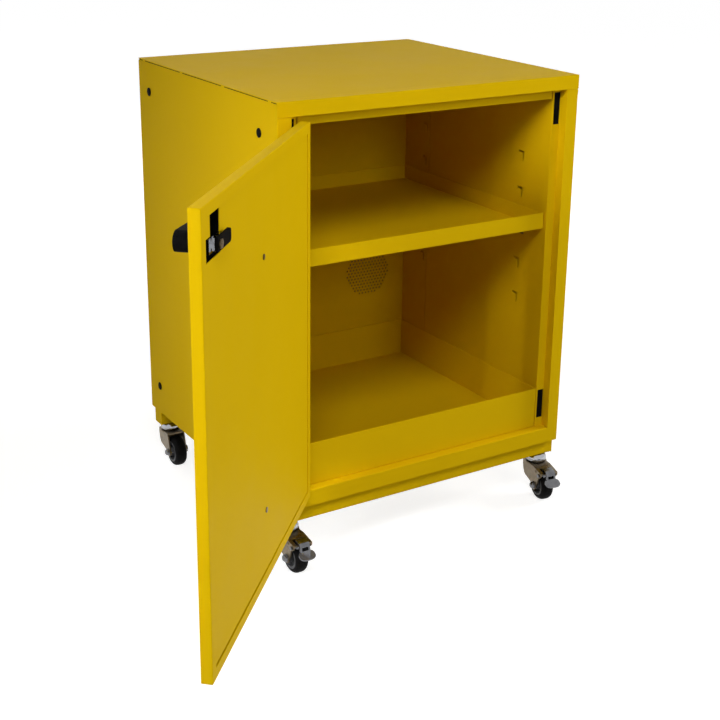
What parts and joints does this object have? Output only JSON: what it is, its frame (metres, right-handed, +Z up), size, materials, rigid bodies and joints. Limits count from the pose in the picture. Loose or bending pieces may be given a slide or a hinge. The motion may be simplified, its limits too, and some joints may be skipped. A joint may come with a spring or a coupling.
{
  "type": "underbench safety cabinet",
  "caption": "Yellow steel underbench safety cabinet with double walls, one hinged door with a turning latch, a shelf tray and a sump, on swivel casters with brake pedals.",
  "frame": {"origin": "on the floor under the middle of the body's footprint", "axes": "+X to the right seen from the front, +Y from the door to the back, +Z up"},
  "size_m": [0.7932, 0.8157, 0.682],
  "materials": {
    "yellow_powder_coat": "semi-gloss",
    "black_plastic": "satin",
    "zinc_steel": "zinc plated",
    "chrome_steel": "polished",
    "grey_plastic": "satin",
    "black_rubber": "matte"
  },
  "bodies": {
    "cabinet": {"left_side_panel": "yellow_powder_coat", "right_side_panel": "yellow_powder_coat", "top_panel": "yellow_powder_coat", "back_panel": "yellow_powder_coat", "floor_panel": "yellow_powder_coat", "inner_floor": "yellow_powder_coat", "left_inner_wall": "yellow_powder_coat", "right_inner_wall": "yellow_powder_coat", "inner_back_wall": "yellow_powder_coat", "inner_ceiling": "yellow_powder_coat", "cavity_spacers": "yellow_powder_coat", "sump_tray": "yellow_powder_coat", "shelf_tray": "yellow_powder_coat", "shelf_clips": "zinc_steel", "side_plugs": "black_plastic", "frame_slot_inserts": "black_plastic", "vent_sleeve": "zinc_steel", "flame_arrestor": "zinc_steel", "vent_bung": "black_plastic", "front_base_tube": "yellow_powder_coat", "rear_base_tube": "yellow_powder_coat", "base_tube_caps": "yellow_powder_coat", "caster_nuts": "zinc_steel", "hinge_frame_leaves": "yellow_powder_coat", "hinge_pins": "zinc_steel", "hinge_washers": "zinc_steel", "caster_fl_head": "chrome_steel", "caster_fr_head": "chrome_steel", "caster_bl_head": "chrome_steel", "caster_br_head": "chrome_steel"},
    "door": {"door_outer_pan": "yellow_powder_coat", "door_inner_panel": "yellow_powder_coat", "door_stiffener": "yellow_powder_coat", "door_screws": "zinc_steel", "hinge_door_leaves": "yellow_powder_coat", "latch_housing": "chrome_steel", "latch_escutcheon": "black_plastic"},
    "latch": {"latch_handle": "black_plastic", "latch_spindle": "zinc_steel", "latch_cam": "black_plastic", "latch_nut": "zinc_steel"},
    "caster_fl": {"caster_fl_fork": "zinc_steel", "caster_fl_axle": "zinc_steel"},
    "wheel_fl": {"caster_fl_wheel": "grey_plastic", "caster_fl_tyre": "black_rubber"},
    "caster_fr": {"caster_fr_fork": "zinc_steel", "caster_fr_axle": "zinc_steel"},
    "wheel_fr": {"caster_fr_wheel": "grey_plastic", "caster_fr_tyre": "black_rubber"},
    "caster_bl": {"caster_bl_fork": "zinc_steel", "caster_bl_axle": "zinc_steel"},
    "wheel_bl": {"caster_bl_wheel": "grey_plastic", "caster_bl_tyre": "black_rubber"},
    "caster_br": {"caster_br_fork": "zinc_steel", "caster_br_axle": "zinc_steel"},
    "wheel_br": {"caster_br_wheel": "grey_plastic", "caster_br_tyre": "black_rubber"},
    "brake_fl": {"caster_fl_brake": "zinc_steel"},
    "brake_fr": {"caster_fr_brake": "zinc_steel"}
  },
  "joints": [
    {"name": "door_swing", "type": "hinge", "parent": "cabinet", "child": "door", "pos_m": [-0.2305, -0.2345, 0.39075], "axis": [0, 0, 1], "range_deg": [-47, 133]},
    {"name": "latch_turn", "type": "hinge", "parent": "door", "child": "latch", "pos_m": [-0.51182, -0.54644, 0.6125], "axis": [0.7314, -0.682, 0], "range_deg": [0, 90]},
    {"name": "swivel_fl", "type": "hinge", "parent": "cabinet", "child": "caster_fl", "pos_m": [-0.2295, -0.206, 0.071], "axis": [0, 0, 1], "continuous": true},
    {"name": "roll_fl", "type": "hinge", "parent": "caster_fl", "child": "wheel_fl", "pos_m": [-0.2295, -0.23, 0.025], "axis": [1, 0, 0], "continuous": true},
    {"name": "swivel_fr", "type": "hinge", "parent": "cabinet", "child": "caster_fr", "pos_m": [0.2295, -0.206, 0.071], "axis": [0, 0, 1], "continuous": true},
    {"name": "roll_fr", "type": "hinge", "parent": "caster_fr", "child": "wheel_fr", "pos_m": [0.22492, -0.22956, 0.025], "axis": [0.9816, -0.1908, 0], "continuous": true},
    {"name": "swivel_bl", "type": "hinge", "parent": "cabinet", "child": "caster_bl", "pos_m": [-0.2295, 0.206, 0.071], "axis": [0, 0, 1], "continuous": true},
    {"name": "roll_bl", "type": "hinge", "parent": "caster_bl", "child": "wheel_bl", "pos_m": [-0.22992, 0.182, 0.025], "axis": [0.9998, -0.0175, 0], "continuous": true},
    {"name": "swivel_br", "type": "hinge", "parent": "cabinet", "child": "caster_br", "pos_m": [0.2295, 0.206, 0.071], "axis": [0, 0, 1], "continuous": true},
    {"name": "roll_br", "type": "hinge", "parent": "caster_br", "child": "wheel_br", "pos_m": [0.22329, 0.18282, 0.025], "axis": [0.9659, -0.2588, 0], "continuous": true},
    {"name": "brake_press_fl", "type": "hinge", "parent": "caster_fl", "child": "brake_fl", "pos_m": [-0.2295, -0.246, 0.048], "axis": [1, 0, 0], "range_deg": [0, 8]},
    {"name": "brake_press_fr", "type": "hinge", "parent": "caster_fr", "child": "brake_fr", "pos_m": [0.22187, -0.24527, 0.048], "axis": [0.9816, -0.1908, 0], "range_deg": [0, 8]}
  ]
}
